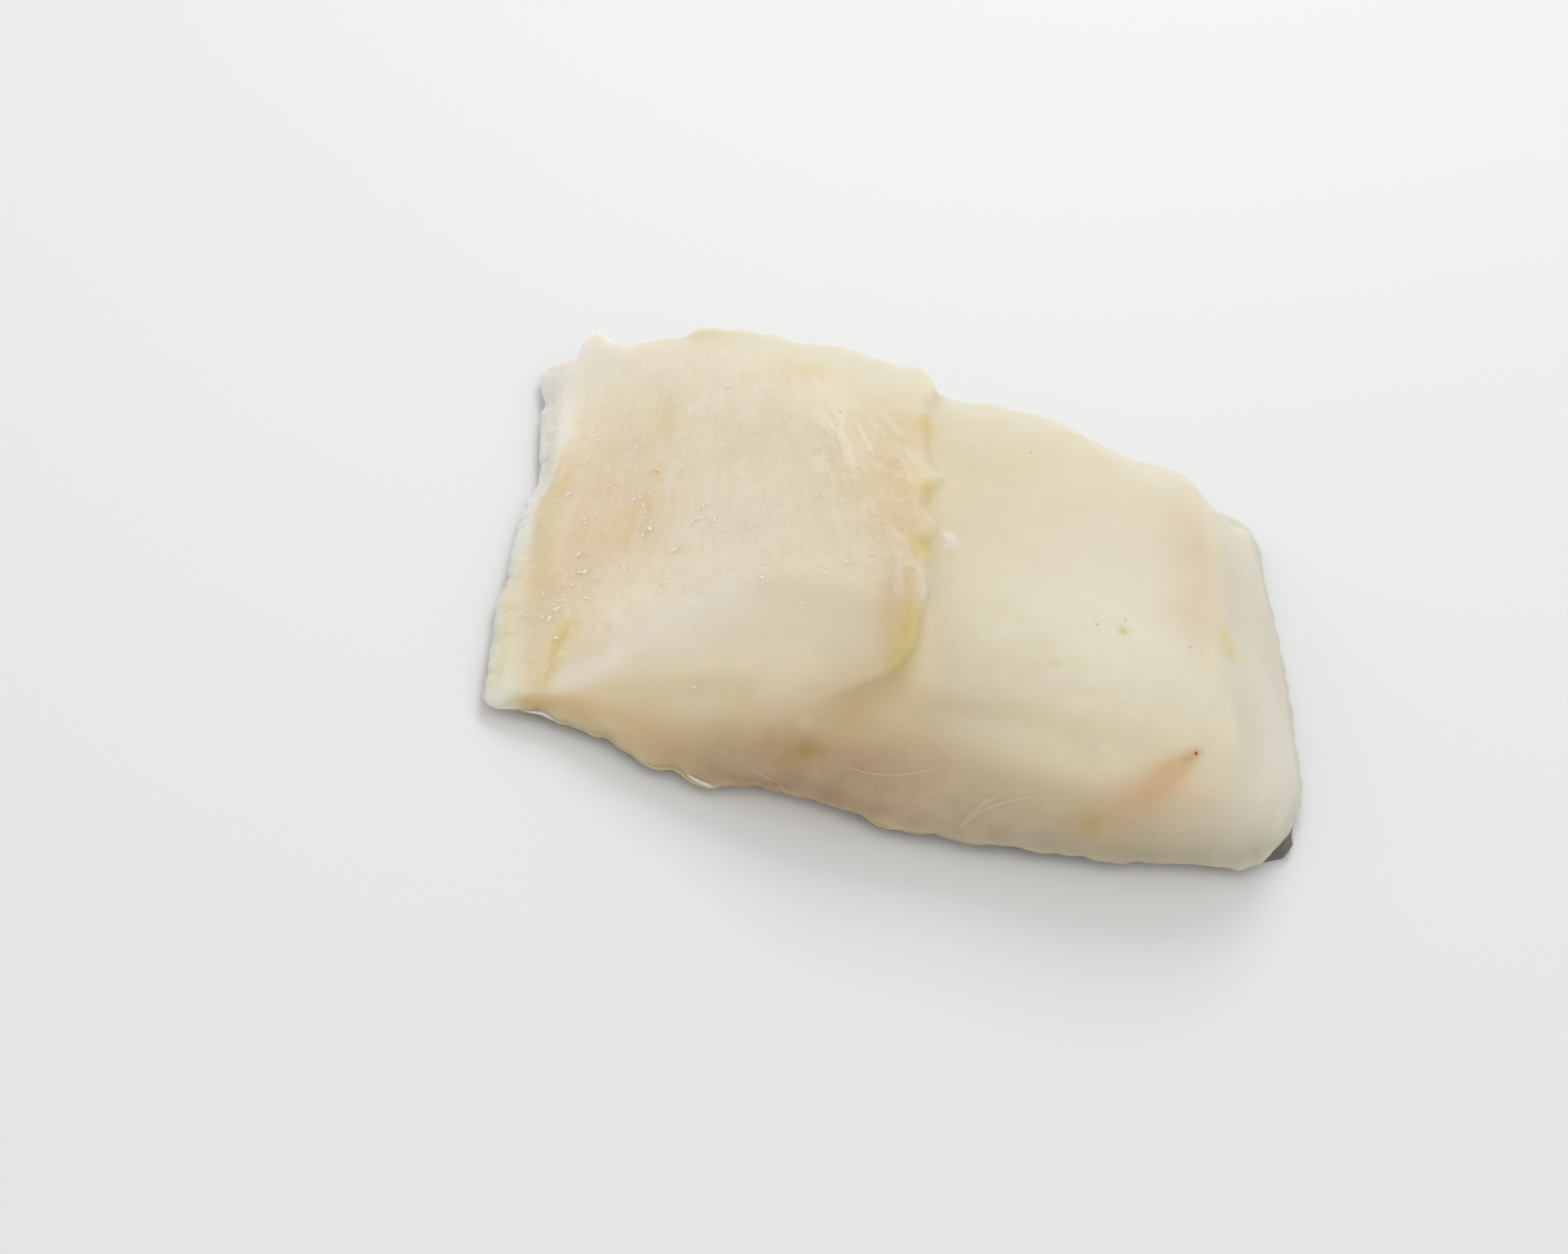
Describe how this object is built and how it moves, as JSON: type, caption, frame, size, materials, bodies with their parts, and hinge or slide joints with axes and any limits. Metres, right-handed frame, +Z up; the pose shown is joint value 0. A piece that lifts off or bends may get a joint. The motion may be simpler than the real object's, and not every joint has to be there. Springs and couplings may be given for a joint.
{
  "type": "desalted cod loin",
  "caption": "Thick portion of desalted cod on its skin: bevelled to a thin torn edge at one end, cut on a slant at the other, with moist pale flesh.",
  "frame": {"origin": "middle of the underside of the skin, on the surface that the loin lies on", "axes": "+X along the loin from the bevelled thin end to the thick end, +Y across it from the front side to the back side, +Z up"},
  "size_m": [0.1506, 0.1134, 0.0321],
  "materials": {
    "flesh": "moist translucent fish muscle, pale cream with a wet sheen",
    "skin": "wet scaled fish skin, dark olive grey"
  },
  "bodies": {
    "root": {"flesh": "flesh", "skin": "skin"}
  },
  "joints": []
}
